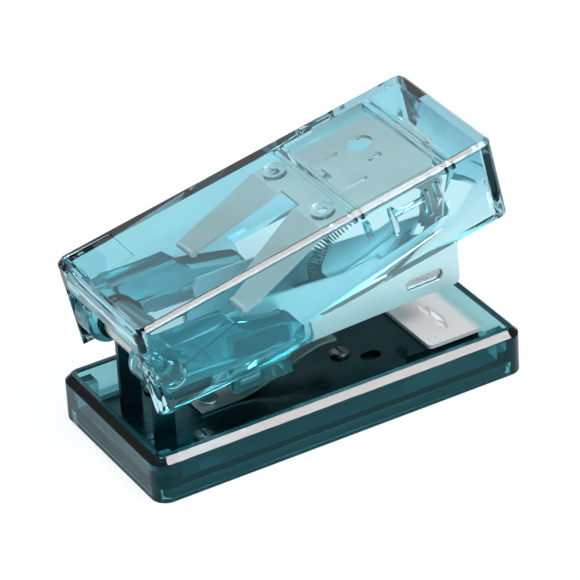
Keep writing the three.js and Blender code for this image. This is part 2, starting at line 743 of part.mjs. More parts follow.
function coverRibs() {
  const reach = coverInnerHalfWidth + weld;
  const ceiling = coverTopZ - coverWall;
  let ribs = null;
  for (const place of ribPlaces) {
    for (const side of [-1, 1]) {
      const centre = coverRearX + place + side * (ribThickness + ribPairGap) / 2;
      const rib = block(centre - ribThickness / 2, centre + ribThickness / 2, -reach, reach,
        ceiling - ribDepth, ceiling + weld);
      ribs = ribs ? ribs.add(rib) : rib;
    }
  }
  return ribs;
}

function coverStake(side) {
  const x = coverRearX + stakePlace;
  const y = side * stakeHalfGap;
  const ceiling = coverTopZ - coverWall;
  const post = uprightRod(stakeRadius, driverTopZ + seat / 2, ceiling + weld, x, y, 28);
  const pin = uprightRod(stakePinRadius, driverUnderZ - seat / 2 - stakeHeadHeight, driverTopZ + seat, x, y, 16);
  const headTop = driverUnderZ - seat / 2;
  return post.add(pin).add(uprightRod(stakeHeadRadius, headTop - stakeHeadHeight, headTop, x, y));
}

function coverFingers(side) {
  const inner = coverInnerHalfWidth - fingerProud;
  const outer = coverInnerHalfWidth + weld;
  const ledgeX0 = coverRearX + fingerPlaces[1];
  const ledgeX1 = coverRearX + fingerPlaces[2];
  const ledgeZ = coverTopZ - ledgeDepth;
  let fingers = sideBlock(
    ledgeX0, ledgeX1, coverInnerHalfWidth - ledgeProud, outer, ledgeZ - ledgeThickness, ledgeZ, side);
  fingerPlaces.forEach((place, index) => {
    const x = coverRearX + place;
    const bottom = coverTopZ - fingerDepths[index];
    const finger = sideBlock(
      x - fingerLength / 2, x + fingerLength / 2, inner, outer, bottom, driverUnderZ - fingerTopGap, side);
    fingers = fingers.add(finger);
  });
  return fingers;
}

function makeCoverShell() {
  const bottom = coverTopZ - cheekFrontDepth - beyond;
  const frontX = coverRearX + coverLength;
  const innerRadius = Math.max(coverCornerRadius - coverWall, leastRadius);
  const inside = roundedPlan(coverRearX + coverWall, frontX - coverWall, coverInnerHalfWidth, innerRadius);
  let shell = bevelledBlock(coverRearX, frontX, coverHalfWidth, coverCornerRadius, coverBevel, bottom, coverTopZ);
  shell = shell.subtract(planPrism(inside, bottom - beyond, coverTopZ - coverWall));
  shell = shell.intersect(sidePrism(coverSideOutline(), -coverHalfWidth - beyond, coverHalfWidth + beyond));
  const rearDoor = block(coverRearX - beyond, coverRearX + coverWall + weld, -coverInnerHalfWidth, coverInnerHalfWidth,
    bottom - beyond, coverTopZ - rearWallDepth);
  shell = shell.subtract(rearDoor);
  shell = shell.add(coverRibs()).add(bothSides(coverStake)).add(bothSides(coverFingers));
  shell = shell.subtract(crossRod(stubRadius + runningFit, -coverHalfWidth - beyond, coverHalfWidth + beyond));
  const flat = block(coverRearX + thumbFlatRear, coverRearX + thumbFlatFront, thumbFlatNear, thumbFlatFar,
    coverTopZ - thumbFlatDepth, coverTopZ + beyond);
  return shell.subtract(flat);
}

// the blade's front face at its lower edge stands just behind the magazine's front guard
function bladeFootX() {
  const footZ = coverTopZ - bladeReach;
  const onMagazine = guardInnerX - bladeWallGap;
  return (onMagazine + footZ * Math.sin(coverAngleOnMagazine)) / Math.cos(coverAngleOnMagazine);
}

function driverPlateOutline() {
  const rear = coverRearX + driverRear;
  const shoulder = coverRearX + driverShoulder;
  const neck = shoulder + shoulderLength;
  const front = bladeTopX() + driverSheet / 2;
  return outline([
    [rear, -driverHalfWidth], [shoulder, -driverHalfWidth], [neck, shoulderStep - driverHalfWidth],
    [neck, -bladeHalfWidth], [front, -bladeHalfWidth], [front, bladeHalfWidth],
    [neck, bladeHalfWidth], [neck, driverHalfWidth - shoulderStep],
    [shoulder, driverHalfWidth], [rear, driverHalfWidth],
  ]);
}

function bladeTopX() {
  return bladeFootX() + (driverTopZ - (coverTopZ - bladeReach)) * Math.tan(bladeLean) - driverSheet / 2;
}

function makeBlade() {
  const footZ = coverTopZ - bladeReach;
  const footX = bladeFootX();
  const topX = bladeTopX() + driverSheet / 2;
  const side = outline([
    [footX - driverSheet, footZ], [footX, footZ], [topX, driverTopZ], [topX - driverSheet, driverTopZ],
  ]);
  return sidePrism(side, -bladeHalfWidth, bladeHalfWidth);
}

// two legs splay rearwards and down from the plate's rear edge
function makeLegs() {
  const root = coverRearX + driverRear;
  const end = -legLength - legCurlRadius;
  const makeLeg = (side) => planPrism(outline([
    [weld, side * windowHalfWidth], [weld, side * driverHalfWidth], [0, side * driverHalfWidth],
    [-legLength, side * legTipOuter], [end, side * (legTipOuter - legTipCorner)],
    [end, side * (legTipInner + legTipCorner)], [-legLength, side * legTipInner], [0, side * windowHalfWidth],
  ]), -driverSheet, 0);
  const swing = new THREE.Matrix4().makeRotationY(-legDrop);
  const geometry = geometryOf(bothSides(makeLeg));
  const curlOuter = legTipOuter - legCurlRadius;
  const tipCurl = (side) => crossRod(legCurlRadius, Math.min(side * legTipInner, side * curlOuter),
    Math.max(side * legTipInner, side * curlOuter), -legLength, -driverSheet / 2);
  const curls = geometryOf(bothSides(tipCurl));
  const place = new THREE.Matrix4().makeTranslation(root, 0, driverTopZ).multiply(swing);
  return solidOf(geometry.applyMatrix4(place)).add(solidOf(curls.applyMatrix4(place)));
}

function makeHook() {
  const x = coverRearX + hookPlace;
  const root = driverUnderZ + driverSheet / 2;
  const low = driverUnderZ - hookDrop;
  const side = outline([
    [x, root], [x, low], [x - hookReach, low], [x - hookReach, low + hookLip],
    [x - hookReach + hookSheet, low + hookLip], [x - hookReach + hookSheet, low + hookSheet],
    [x - hookSheet, low + hookSheet], [x - hookSheet, root],
  ]);
  return sidePrism(side, hookSide - hookWidth / 2, hookSide + hookWidth / 2);
}

function makeDriver() {
  const below = driverUnderZ - beyond;
  const above = driverTopZ + beyond;
  let driver = planPrism(driverPlateOutline(), driverUnderZ, driverTopZ).add(makeLegs()).add(makeBlade());
  const rearX = coverRearX + driverRear;
  driver = driver.subtract(
    block(rearX - beyond, coverRearX + windowFront, -windowHalfWidth, windowHalfWidth, below, above));
  const hookX = coverRearX + hookPlace;
  const hookHalf = hookWidth / 2;
  driver = driver.subtract(
    block(hookX - hookWindowLength, hookX - hookSheet, hookSide - hookHalf, hookSide + hookHalf, below, above));
  driver = driver.subtract(uprightRod(lightHoleRadius, below, above, coverRearX + lightHolePlace, lightHoleSide, 28));
  driver = driver.subtract(
    block(coverRearX + smallHole.rear, coverRearX + smallHole.front, smallHole.near, smallHole.far, below, above));
  const cutX = coverRearX + sideCut.place;
  for (const side of [1, -1]) {
    const stake = uprightRod(stakePinRadius + runningFit, below, above, coverRearX + stakePlace, side * stakeHalfGap);
    const cut = slotCut(cutX, side * sideCut.side, sideCut.length, sideCut.radius, below, above);
    driver = driver.subtract(stake).subtract(cut);
  }
  return driver.add(makeHook());
}

// ---- pusher spring --------------------------------------------------------------------------

function coverToMagazine(x, z) {
  const turned = new THREE.Vector3(x, 0, z).applyAxisAngle(new THREE.Vector3(0, 1, 0), -coverAngleOnMagazine);
  return [turned.x, turned.z];
}

class CoilCurve extends THREE.Curve {
  constructor(spine, radius, turns) {
    super();
    this.spine = spine;
    this.radius = radius;
    this.turns = turns;
  }

  getPoint(t, target = new THREE.Vector3()) {
    const centre = this.spine.getPointAt(t);
    const along = this.spine.getTangentAt(t);
    const side = new THREE.Vector3(0, 1, 0);
    const normal = new THREE.Vector3().crossVectors(along, side).normalize();
    const angle = t * this.turns * Math.PI * 2;
    return target.copy(centre)
      .addScaledVector(side, Math.cos(angle) * this.radius)
      .addScaledVector(normal, Math.sin(angle) * this.radius);
  }
}

function makePusherSpring() {
  const postX = pusherRearX + pusherPostInset;
  const postTop = railTop + slidingFit + pusherTopThickness + pusherPostHeight;
  const [hookX, hookZ] = coverToMagazine(
    coverRearX + hookPlace - coilHookInset, driverUnderZ - hookDrop - coilLoop);
  const spine = new THREE.CatmullRomCurve3([
    ...coilSpine.map(([forward, up]) => new THREE.Vector3(postX + forward, 0, postTop + up)),
    new THREE.Vector3(hookX, hookSide, hookZ),
  ]);
  const section = new THREE.Shape().absarc(0, 0, coilWire, 0, Math.PI * 2);
  return new THREE.ExtrudeGeometry(section, {
    steps: coilTurns * 8,
    curveSegments: 3,
    bevelEnabled: false,
    extrudePath: new CoilCurve(spine, coilRadius, coilTurns),
  });
}

// ---- the assembly ---------------------------------------------------------------------------

addPart(stapler, 'base_shell', geometryOf(makeBaseShell()), clearTeal);
addPart(stapler, 'nonslip_mat', geometryOf(makeMat()), darkRubber);
addPart(stapler, 'base_plate', geometryOf(makeBasePlate()), platedSteel);
screwPlaces().forEach(([x, y], index) => {
  const name = ['plate_screw_left', 'plate_screw_right', 'plate_screw_front'][index];
  addPart(stapler, name, geometryOf(makeScrew(x, y)), brightSteel);
});
addPart(stapler, 'anvil', geometryOf(makeAnvil()), chrome);
anvilRivetPlaces().forEach(([x, y], index) => {
  addPart(stapler, ['anvil_rivet_left', 'anvil_rivet_right'][index], geometryOf(makeAnvilRivet(x, y)), chrome);
});
addPart(stapler, 'lift_spring', geometryOf(makeLiftSpring()), springSteel);
addPart(stapler, 'lift_spring_rivet', geometryOf(makeLiftRivet()), brightSteel);
addPart(stapler, 'pivot_pin', geometryOf(makePin()), brightSteel);
addPart(stapler, 'pivot_spacer', geometryOf(makeSpacer()), platedSteel);

addPart(magazineFrame, 'magazine_channel', geometryOf(makeChannel()), brightSteel);
addPart(magazineFrame, 'magazine_holder', geometryOf(makeHolder()), clearHolder);
addPart(magazineFrame, 'staple_rail', geometryOf(makeRail()), brightSteel);
addPart(magazineFrame, 'staple_strip', geometryOf(makeStrip()), chrome);
rivetPlaces.forEach((x, index) => {
  const name = ['channel_rivet_rear', 'channel_rivet_front'][index];
  addPart(magazineFrame, name, geometryOf(makeChannelRivet(x)), brightSteel);
});
addPart(magazineFrame, 'pusher', geometryOf(makePusher()), pusherPlastic);
addPart(magazineFrame, 'pusher_spring', makePusherSpring(), chrome);

addPart(coverFrame, 'cover_shell', geometryOf(makeCoverShell()), clearBlue);
addPart(coverFrame, 'driver_spring', geometryOf(makeDriver()), springSteel);

export default stapler;
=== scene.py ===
import json
import math

import bmesh
import bpy
from mathutils import Matrix, Vector


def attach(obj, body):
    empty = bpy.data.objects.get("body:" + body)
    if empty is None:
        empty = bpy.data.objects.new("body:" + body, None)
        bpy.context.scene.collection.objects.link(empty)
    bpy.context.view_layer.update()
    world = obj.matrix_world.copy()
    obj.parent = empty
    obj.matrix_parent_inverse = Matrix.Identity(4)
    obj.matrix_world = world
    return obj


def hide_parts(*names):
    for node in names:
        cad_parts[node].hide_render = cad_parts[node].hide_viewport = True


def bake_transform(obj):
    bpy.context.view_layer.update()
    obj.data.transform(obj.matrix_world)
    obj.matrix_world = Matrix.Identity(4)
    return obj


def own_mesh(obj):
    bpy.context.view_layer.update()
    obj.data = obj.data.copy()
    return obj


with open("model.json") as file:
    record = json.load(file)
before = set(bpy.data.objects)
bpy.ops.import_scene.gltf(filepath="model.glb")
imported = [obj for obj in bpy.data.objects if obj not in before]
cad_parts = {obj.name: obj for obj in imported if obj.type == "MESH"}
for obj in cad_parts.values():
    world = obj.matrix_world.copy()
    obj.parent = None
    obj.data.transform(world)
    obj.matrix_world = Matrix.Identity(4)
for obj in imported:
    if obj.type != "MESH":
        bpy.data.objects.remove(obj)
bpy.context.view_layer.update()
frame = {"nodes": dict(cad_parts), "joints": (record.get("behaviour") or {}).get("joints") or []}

# places that the frame gives, in metres
mm = 0.001
joints = {j["name"]: j for j in frame["joints"]}
pivot = Vector(joints["magazine_hinge"]["pos_m"])
slideAxis = joints["pusher_slide"]["axis"]
magazineTilt = math.atan2(slideAxis[2], slideAxis[0])
coverTilt = math.radians(11.1)

# each body's own millimetres: the base from the middle of its underside, the others from the pivot
baseSpace = Matrix.Scale(mm, 4)
magazineSpace = Matrix.Translation(pivot) @ Matrix.Rotation(-magazineTilt, 4, "Y") @ Matrix.Scale(mm, 4)
coverSpace = Matrix.Translation(pivot) @ Matrix.Rotation(-coverTilt, 4, "Y") @ Matrix.Scale(mm, 4)

cameraSetup = {
    "azimuth": -28.55,
    "elevation": 31.66,
    "roll": -3.66,
    "distance": 0.69008,
    "lens": 243.58,
    "sensor": 36.0,
    "nearest": 0.01,
    "farthest": 20.0,
    "aim": (0.00034, 0.0, 0.02146),
}


def makeCamera(setup):
    azimuth, elevation = math.radians(setup["azimuth"]), math.radians(setup["elevation"])
    level = math.cos(elevation)
    back = Vector((math.sin(azimuth) * level, -math.cos(azimuth) * level, math.sin(elevation)))
    right = (-back).cross(Vector((0, 0, 1))).normalized()
    up = right.cross(-back)
    turn = math.radians(setup["roll"])
    across = right * math.cos(turn) + up * math.sin(turn)
    upward = up * math.cos(turn) - right * math.sin(turn)
    data = bpy.data.cameras.new("studioCamera")
    data.lens = setup["lens"]
    data.sensor_width = setup["sensor"]
    data.clip_start = setup["nearest"]
    data.clip_end = setup["farthest"]
    camera = bpy.data.objects.new("studioCamera", data)
    bpy.context.scene.collection.objects.link(camera)
    place = Vector(setup["aim"]) + back * setup["distance"]
    camera.matrix_world = Matrix.Translation(place) @ Matrix((across, upward, back)).transposed().to_4x4()
    bpy.context.scene.camera = camera


makeCamera(cameraSetup)


def newObject(name, mesh):
    piece = bpy.data.objects.new(name, mesh)
    bpy.context.scene.collection.objects.link(piece)
    return piece


def startMaterial(name):
    material = bpy.data.materials.new(name)
    material.use_nodes = True
    return material, material.node_tree, material.node_tree.nodes["Principled BSDF"]


def setSockets(node, values):
    # values gives what each named socket is set to
    for socket, value in dict(values).items():
        node.inputs[socket].default_value = value


def addNode(tree, kind, values=()):
    node = tree.nodes.new(kind)
    setSockets(node, values)
    return node


studio = {
    "sky": (0.95, 0.98, 1.0),
    "skyStrength": 0.27,
    "floor": (0.90, 0.90, 0.90),
    "floorRoughness": 0.9,
    "floorHalf": 15.0,
    "floorGlow": 0.25,
    "backdropShare": 0.8,
    "backdropWhite": 1.05,
    "lamps": [
        # name, place, aim, size, brightness, colour
        ("keySoftbox", (0.29, -0.56, 0.77), (0.0, 0.0, 0.02), (0.56, 0.24), 16.0, (1.0, 0.96, 0.95)),
        ("topSoftbox", (0.05, 0.05, 0.95), (0.0, 0.0, 0.02), (0.7, 0.5), 1.4, (1.0, 1.0, 1.0)),
        ("farSoftbox", (0.22, 0.90, 0.80), (0.0, 0.0, 0.02), (0.42, 0.42), 0.9, (0.95, 0.98, 1.0)),
    ],
}


def makeLights(setup):
    world = bpy.data.worlds.new("studioSky")
    world.use_nodes = True
    sky = {"Color": (*setup["sky"], 1), "Strength": setup["skyStrength"]}
    setSockets(world.node_tree.nodes["Background"], sky)
    bpy.context.scene.world = world
    for name, place, aim, size, brightness, colour in setup["lamps"]:
        lamp = bpy.data.lights.new(name, "AREA")
        lamp.shape = "RECTANGLE"
        lamp.size, lamp.size_y = size
        lamp.energy = brightness * math.pi * size[0] * size[1]
        lamp.color = colour
        stand = newObject(name, lamp)
        stand.location = place
        stand.rotation_euler = (Vector(aim) - Vector(place)).to_track_quat("-Z", "Y").to_euler()
    view = bpy.context.scene.view_settings
    view.view_transform = "Standard"
    view.look = "None"


def makeFloor(setup):
    half = setup["floorHalf"]
    mesh = bpy.data.meshes.new("studioFloor")
    corners = [(-half, -half, 0), (half, -half, 0), (half, half, 0), (-half, half, 0)]
    mesh.from_pydata(corners, [], [(0, 1, 2, 3)])
    floor = newObject("studioFloor", mesh)
    paint, tree, shader = startMaterial("paleFloor")
    setSockets(shader, {
        "Base Color": (*setup["floor"], 1), "Roughness": setup["floorRoughness"],
        "Emission Color": (1, 1, 1, 1), "Emission Strength": setup["floorGlow"],
    })
    # the floor is seen nearly free of shadow, as on a lit white table
    white = addNode(tree, "ShaderNodeEmission", {"Strength": setup["backdropWhite"]})
    rays = addNode(tree, "ShaderNodeLightPath")
    share = addNode(tree, "ShaderNodeMath")
    share.operation = "MULTIPLY"
    share.inputs[1].default_value = setup["backdropShare"]
    mix = addNode(tree, "ShaderNodeMixShader")
    tree.links.new(rays.outputs["Is Camera Ray"], share.inputs[0])
    tree.links.new(share.outputs["Value"], mix.inputs["Fac"])
    tree.links.new(shader.outputs["BSDF"], mix.inputs[1])
    tree.links.new(white.outputs["Emission"], mix.inputs[2])
    tree.links.new(mix.outputs["Shader"], tree.nodes["Material Output"].inputs["Surface"])
    floor.data.materials.append(paint)


makeLights(studio)
makeFloor(studio)
print("camera and studio")

# mesh tools, all in a body's own millimetres
cutPast = 1.0  # how far a cutter runs past the face that it opens
mergeAcross = 0.005  # corners closer than this become one
flatAngle = 0.6  # faces that lean less than this from each other become one flat, in degrees
edgeSegments = 2
mouldedAngle = 38  # moulded edges sharper than this are rounded, in degrees
stampedAngle = 32


def faceOutward(mesh):
    work = bmesh.new()
    work.from_mesh(mesh)
    bmesh.ops.recalc_face_normals(work, faces=work.faces)
    work.to_mesh(mesh)
    work.free()


def loft(rings, name="work"):
    # rings of equally many points, joined in order, with a face on each end
    count = len(rings[0])
    points = [p for ring in rings for p in ring]
    faces = [list(reversed(range(count))), [len(points) - count + i for i in range(count)]]
    for level in range(len(rings) - 1):
        low, high = level * count, (level + 1) * count
        for i in range(count):
            j = (i + 1) % count
            faces.append([low + i, low + j, high + j, high + i])
    mesh = bpy.data.meshes.new(name)
    mesh.from_pydata(points, [], faces)
    faceOutward(mesh)
    return newObject(name, mesh)


def roundedPlan(x0, x1, halfWidth, radius, steps=10):
    points = []
    for cx, cy, start in ((x1 - radius, -halfWidth + radius, -90), (x1 - radius, halfWidth - radius, 0),
                          (x0 + radius, halfWidth - radius, 90), (x0 + radius, -halfWidth + radius, 180)):
        for i in range(steps + 1):
            angle = math.radians(start + 90 * i / steps)
            points.append((cx + radius * math.cos(angle), cy + radius * math.sin(angle)))
    return points


def planPrism(points, z0, z1):
    return loft([[(x, y, z) for x, y in points] for z in (z0, z1)])


def sidePrism(points, y0, y1):
    return loft([[(x, y, z) for x, z in points] for y in (y0, y1)])


def block(x0, x1, y0, y1, z0, z1):
    return planPrism([(x0, y0), (x1, y0), (x1, y1), (x0, y1)], z0, z1)


def circle(cx, cy, radius, sides):
    turns = [2 * math.pi * i / sides for i in range(sides)]
    return [(cx + radius * math.cos(turn), cy + radius * math.sin(turn)) for turn in turns]


def crossRod(radius, y0, y1, sides=64):
    # a rod on the pivot's own line
    return sidePrism(circle(0.0, 0.0, radius, sides), y0, y1)


def uprightRod(radius, z0, z1, x, y, sides=48):
    return planPrism(circle(x, y, radius, sides), z0, z1)


def onSide(side, near, far):
    # two distances from the middle as places on one side, the lower first
    return sorted((side * near, side * far))


def settle(piece):
    # replaces the mesh by what its modifiers make of it
    graph = bpy.context.evaluated_depsgraph_get()
    mesh = bpy.data.meshes.new_from_object(piece.evaluated_get(graph), depsgraph=graph)
    piece.modifiers.clear()
    piece.data = mesh


def combine(piece, tool, how):
    cutter = piece.modifiers.new("cut", "BOOLEAN")
    cutter.object = tool
    cutter.operation = how
    cutter.solver = "EXACT"
    settle(piece)
    bpy.data.objects.remove(tool)


def cut(piece, *tools):
    for tool in tools:
        combine(piece, tool, "DIFFERENCE")


def join(piece, *tools):
    for tool in tools:
        combine(piece, tool, "UNION")


def keepInside(piece, tool):
    combine(piece, tool, "INTERSECT")


def cleanFlats(piece, merge):
    work = bmesh.new()
    work.from_mesh(piece.data)
    bmesh.ops.remove_doubles(work, verts=work.verts, dist=merge)
    bmesh.ops.dissolve_degenerate(work, edges=work.edges, dist=merge)
    bmesh.ops.dissolve_limit(work, angle_limit=math.radians(flatAngle), verts=work.verts, edges=work.edges)
    work.to_mesh(piece.data)
    work.free()


def softenEdges(piece, width, angle=stampedAngle):
    # every sharp edge gets a small radius, as moulded and stamped parts have
    bevel = piece.modifiers.new("edge", "BEVEL")
    bevel.width = width
    bevel.segments = edgeSegments
    bevel.limit_method = "ANGLE"
    bevel.angle_limit = math.radians(angle)
    bevel.use_clamp_overlap = True
    settle(piece)


def shadeByAngle(piece, angle=40):
    # each corner follows the largest faces near its own slope, so flats stay flat and small radii shade softly
    mesh = piece.data
    slopes = [face.normal.copy() for face in mesh.polygons]
    areas = [face.area for face in mesh.polygons]
    facesAt = [[] for _ in mesh.vertices]
    for face in mesh.polygons:
        face.use_smooth = True
        for vertex in face.vertices:
            facesAt[vertex].append(face.index)
    limit = math.cos(math.radians(angle))
    corners = [Vector((0, 0, 1))] * len(mesh.loops)
    for face in mesh.polygons:
        for loop, vertex in zip(face.loop_indices, face.vertices):
            total = slopes[face.index] * areas[face.index] ** 2
            for other in facesAt[vertex]:
                if other != face.index and slopes[other].dot(slopes[face.index]) > limit:
                    total = total + slopes[other] * areas[other] ** 2
            corners[loop] = total.normalized() if total.length > 0 else slopes[face.index]
    mesh.normals_split_custom_set(corners)


def finishEdges(piece, width, angle=mouldedAngle, unit=1.0):
    # unit is the length of a millimetre in the piece's own mesh
    cleanFlats(piece, mergeAcross * unit)
    softenEdges(piece, width * unit, angle)
    shadeByAngle(piece)


def placePiece(piece, name, space, body, slot, material, *nodes):
    piece.name = name
    piece.data.name = name
    piece.data.transform(space)
    piece.data.materials.clear()
    piece.data.materials.append(material)
    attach(piece, body)
    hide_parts(*nodes)


# material tools
noiseSpan = (0.3, 0.7)  # nearly all of a noise lies between these


def objectCoords(tree, scale):
    coords = addNode(tree, "ShaderNodeTexCoord")
    mapping = addNode(tree, "ShaderNodeMapping", {"Scale": scale})
    tree.links.new(coords.outputs["Object"], mapping.inputs["Vector"])
    return mapping.outputs["Vector"]


def noiseOver(tree, vector, scale, detail):
    cloud = addNode(tree, "ShaderNodeTexNoise", {"Scale": scale, "Detail": detail})
    tree.links.new(vector, cloud.inputs["Vector"])
    return cloud.outputs["Fac"]


def spreadNoise(tree, cloud, low, high):
    span = {"From Min": noiseSpan[0], "From Max": noiseSpan[1], "To Min": low, "To Max": high}
    spread = addNode(tree, "ShaderNodeMapRange", span)
    tree.links.new(cloud, spread.inputs["Value"])
    return spread.outputs["Result"]


def bumpFrom(tree, height, strength, distance):
    bump = addNode(tree, "ShaderNodeBump", {"Strength": strength, "Distance": distance})
    tree.links.new(height, bump.inputs["Height"])
    return bump.outputs["Normal"]


def toneBetween(tree, share, first, second):
    # a Mix node's colours are its sockets 6 and 7, and its result 2
    tone = addNode(tree, "ShaderNodeMix")
    tone.data_type = "RGBA"
    tone.inputs[6].default_value = (*first, 1)
    tone.inputs[7].default_value = (*second, 1)
    tree.links.new(share, tone.inputs[0])
    return tone.outputs[2]


# the wall, rim and top stops place the painted reflection tints by the surface's slope
moulding = {
    "ior": 1.49, "stretch": (1.0, 2.2, 1.4), "markScale": 420.0, "markDetail": 6.0, "roughness": (0.0, 0.02),
    "waveScale": 60.0, "waveDetail": 1.5, "waveStrength": 0.008, "waveDepth": 0.00015,
    "wallStop": 0.30, "rimStops": (0.42, 0.90), "topStop": 0.98,
}


def clearPlastic(name, look):
    # polished moulding: tinted on its skin and through its depth, with faint flow waves and handling marks
    material, tree, shader = startMaterial(name)
    setSockets(shader, {
        "Base Color": (*look["surface"], 1), "Transmission Weight": look["clear"], "IOR": moulding["ior"],
    })
    # painted reflection by slope: the sloping rims reflect untinted, the walls and tops reflect in painted tints
    # of their own
    coords = addNode(tree, "ShaderNodeTexCoord")
    slope = addNode(tree, "ShaderNodeSeparateXYZ")
    tree.links.new(coords.outputs["Normal"], slope.inputs["Vector"])
    paintedReflectionBySlope = addNode(tree, "ShaderNodeValToRGB")
    wall, top = paintedReflectionBySlope.color_ramp.elements
    wall.position, wall.color = moulding["wallStop"], (*look["gloss"], 1)
    top.position, top.color = moulding["topStop"], (*look["paintedTopReflection"], 1)
    for stop in moulding["rimStops"]:
        paintedReflectionBySlope.color_ramp.elements.new(stop).color = (1, 1, 1, 1)
    tree.links.new(slope.outputs["Z"], paintedReflectionBySlope.inputs["Fac"])
    tree.links.new(paintedReflectionBySlope.outputs["Color"], shader.inputs["Specular Tint"])
    vector = objectCoords(tree, moulding["stretch"])
    marks = noiseOver(tree, vector, moulding["markScale"], moulding["markDetail"])
    tree.links.new(spreadNoise(tree, marks, *moulding["roughness"]), shader.inputs["Roughness"])
    waves = noiseOver(tree, vector, moulding["waveScale"], moulding["waveDetail"])
    normal = bumpFrom(tree, waves, moulding["waveStrength"], moulding["waveDepth"])
    tree.links.new(normal, shader.inputs["Normal"])
    depth = addNode(tree, "ShaderNodeVolumeAbsorption", {
        "Color": (*look["depthColour"], 1), "Density": look["depthDensity"],
    })
    # lamps reach through it in its own tint
    through = addNode(tree, "ShaderNodeBsdfTransparent", {"Color": (*look["lampTint"], 1)})
    rays = addNode(tree, "ShaderNodeLightPath")
    mix = addNode(tree, "ShaderNodeMixShader")
    output = tree.nodes["Material Output"]
    tree.links.new(rays.outputs["Is Shadow Ray"], mix.inputs["Fac"])
    tree.links.new(shader.outputs["BSDF"], mix.inputs[1])
    tree.links.new(through.outputs["BSDF"], mix.inputs[2])
    tree.links.new(mix.outputs["Shader"], output.inputs["Surface"])
    tree.links.new(depth.outputs["Volume"], output.inputs["Volume"])
    return material


rolled = {"patchScale": 90.0, "patchDetail": 4.0, "grainDetail": 5.0, "bumpDepth": 0.00002}


def metal(name, look):
    # rolled, stamped or plated metal with grain along one way, worn lighter in patches
    material, tree, shader = startMaterial(name)
    shader.inputs["Metallic"].default_value = look.get("metallic", 1.0)
    cloud = noiseOver(tree, objectCoords(tree, (1, 1, 1)), rolled["patchScale"], rolled["patchDetail"])
    tone = toneBetween(tree, spreadNoise(tree, cloud, 0.0, 1.0), look["colour"], look["worn"])
    tree.links.new(tone, shader.inputs["Base Color"])
    grain = noiseOver(tree, objectCoords(tree, look["grain"]), look["grainScale"], rolled["grainDetail"])
    tree.links.new(spreadNoise(tree, grain, *look["roughness"]), shader.inputs["Roughness"])
    tree.links.new(bumpFrom(tree, grain, look["bump"], rolled["bumpDepth"]), shader.inputs["Normal"])
    return material


sparkEroded = {"grainDetail": 6.0, "glossScale": 0.5, "glossDetail": 3.0, "bumpDepth": 0.00004}


def plainPolymer(name, look):
    # moulded nylon or rubber with a fine spark-eroded grain
    material, tree, shader = startMaterial(name)
    vector = objectCoords(tree, (1, 1, 1))
    grain = noiseOver(tree, vector, look["grainScale"], sparkEroded["grainDetail"])
    tone = toneBetween(tree, spreadNoise(tree, grain, 0.0, 1.0), look["colour"], look["pale"])
    tree.links.new(tone, shader.inputs["Base Color"])
    gloss = noiseOver(tree, vector, look["grainScale"] * sparkEroded["glossScale"], sparkEroded["glossDetail"])
    tree.links.new(spreadNoise(tree, gloss, *look["roughness"]), shader.inputs["Roughness"])
    tree.links.new(bumpFrom(tree, grain, look["bump"], sparkEroded["bumpDepth"]), shader.inputs["Normal"])
    return material


# each clear plastic's gloss and top gloss colours are painted reflection tints, for its walls and for its tops
skyBlueClear = clearPlastic("skyBlueClear", {
    "surface": (0.54, 0.85, 0.915), "clear": 1.0, "gloss": (0.25, 0.85, 1.0), "paintedTopReflection": (0.85, 0.97, 1.0),
    "depthColour": (0.22, 0.50, 0.594), "depthDensity": 55.0, "lampTint": (0.88, 0.96, 0.98),
})
tealClear = clearPlastic("tealClear", {
    "surface": (0.70, 0.98, 1.0), "clear": 1.0, "gloss": (0.12, 0.80, 0.95), "paintedTopReflection": (0.25, 0.85, 1.0),
    "depthColour": (0.12, 0.48, 0.53), "depthDensity": 400.0, "lampTint": (0.35, 0.68, 0.75),
})
holderClear = clearPlastic("holderClear", {
    "surface": (0.30, 0.70, 0.75), "clear": 0.92, "gloss": (0.25, 0.90, 1.0), "paintedTopReflection": (0.6, 0.95, 1.0),
    "depthColour": (0.115, 0.635, 0.69), "depthDensity": 60.0, "lampTint": (0.80, 0.92, 0.95),
})
# the plate's near-black teal is painted shade: it stands in for the dark reflections and shade inside the tray
# under the magazine
plateSteelPaintedShade = metal("plateSteelPaintedShade", {
    "colour": (0.008, 0.045, 0.055), "worn": (0.02, 0.075, 0.085), "grain": (1.0, 14.0, 1.0), "grainScale": 160.0,
    "roughness": (0.16, 0.30), "bump": 0.10,
})
brightSteel = metal("brightSteel", {
    "colour": (0.68, 0.70, 0.72), "worn": (0.80, 0.81, 0.82), "grain": (1.0, 1.0, 8.0), "grainScale": 300.0,
    "roughness": (0.12, 0.25), "bump": 0.08,
})
screwSteel = metal("screwSteel", {
    "colour": (0.10, 0.13, 0.14), "worn": (0.20, 0.24, 0.25), "grain": (1.0, 1.0, 8.0), "grainScale": 300.0,
    "roughness": (0.18, 0.30), "bump": 0.08,
})
chromePlate = metal("chromePlate", {
    "colour": (0.93, 0.91, 0.90), "worn": (0.99, 0.97, 0.96), "grain": (1.0, 5.0, 1.0), "grainScale": 200.0,
    "roughness": (0.14, 0.20), "bump": 0.006, "metallic": 0.3,
})
magazineSteel = metal("magazineSteel", {
    "colour": (0.52, 0.76, 0.81), "worn": (0.60, 0.84, 0.88), "grain": (1.0, 10.0, 10.0), "grainScale": 150.0,
    "roughness": (0.28, 0.42), "bump": 0.06, "metallic": 0.45,
})
driverSteel = metal("driverSteel", {
    "colour": (0.72, 0.53, 0.49), "worn": (0.82, 0.62, 0.57), "grain": (10.0, 1.0, 1.0), "grainScale": 180.0,
    "roughness": (0.42, 0.58), "bump": 0.15, "metallic": 0.15,
})
